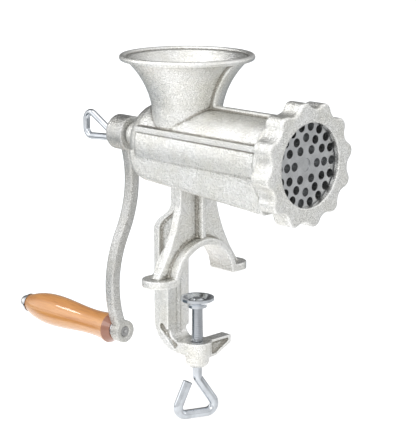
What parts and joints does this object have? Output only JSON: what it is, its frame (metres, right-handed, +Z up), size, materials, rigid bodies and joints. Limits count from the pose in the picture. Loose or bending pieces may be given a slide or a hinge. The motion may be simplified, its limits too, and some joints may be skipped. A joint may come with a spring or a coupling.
{
  "type": "hand crank meat grinder",
  "caption": "Table-clamped hand meat grinder: cast barrel with hopper, feed screw, knife and plate behind a lobed ring nut, S-shaped crank with a turning wooden grip.",
  "frame": {"origin": "on the clamp screw's axis, in the plane of the feet's undersides, where the table top is", "axes": "+X along the barrel towards the mouth, +Y across the barrel, +Z up"},
  "size_m": [0.3333, 0.104, 0.2893],
  "materials": {
    "tinned_casting": "tin-plated sand casting, matte and slightly grainy",
    "steel": "ground steel",
    "bronze": "plain bearing bronze",
    "zinc": "bluish bright zinc plating",
    "varnished_wood": "glossy honey-orange varnish",
    "bright_chrome": "polished"
  },
  "bodies": {
    "casting": {"body_casting": "tinned_casting", "rear_bush": "bronze", "thrust_washer": "steel", "plate_key_pin": "steel"},
    "rotor": {"feed_screw": "tinned_casting", "knife_stud": "steel", "cutting_knife": "steel", "crank_arm": "tinned_casting", "handle_spindle": "steel", "handle_front_washer": "zinc", "handle_rear_washer": "zinc", "handle_cap_nut": "bright_chrome"},
    "grip": {"handle_grip": "varnished_wood"},
    "plate": {"grinding_plate": "steel"},
    "ring": {"ring_nut": "tinned_casting"},
    "thumb_washer": {"crank_washer": "zinc"},
    "thumb_screw": {"crank_thumb_screw": "zinc"},
    "pad": {"clamp_pad": "zinc"},
    "clamp": {"clamp_screw": "zinc"}
  },
  "joints": [
    {"name": "crank_turn", "type": "hinge", "parent": "casting", "child": "rotor", "pos_m": [0, 0, 0.1044], "axis": [1, 0, 0], "continuous": true},
    {"name": "handle_spin", "type": "hinge", "parent": "rotor", "child": "grip", "pos_m": [-0.15, 0, -0.0624], "axis": [1, 0, 0], "continuous": true},
    {"name": "plate_slide", "type": "slide", "parent": "casting", "child": "plate", "axis": [1, 0, 0], "range_m": [0, 0.012]},
    {"name": "ring_turn", "type": "hinge", "parent": "plate", "child": "ring", "pos_m": [0.11, 0, 0.1044], "axis": [1, 0, 0], "range_deg": [0, 1080]},
    {"name": "thumb_slide", "type": "slide", "parent": "rotor", "child": "thumb_washer", "axis": [-1, 0, 0], "range_m": [0, 0.01]},
    {"name": "thumb_turn", "type": "hinge", "parent": "thumb_washer", "child": "thumb_screw", "pos_m": [-0.1, 0, 0.1044], "axis": [-1, 0, 0], "range_deg": [0, 3600]},
    {"name": "clamp_slide", "type": "slide", "parent": "casting", "child": "pad", "axis": [0, 0, 1], "range_m": [-0.027, 0.008]},
    {"name": "clamp_turn", "type": "hinge", "parent": "pad", "child": "clamp", "pos_m": [0, 0, -0.05], "axis": [0, 0, 1], "range_deg": [-6480, 1920]}
  ],
  "couplings": [
    {"joint": "ring_turn", "follows": "plate_slide", "rad_per_m": 1570.8},
    {"joint": "thumb_turn", "follows": "thumb_slide", "rad_per_m": 6283.2},
    {"joint": "clamp_turn", "follows": "clamp_slide", "rad_per_m": 4188.8}
  ]
}
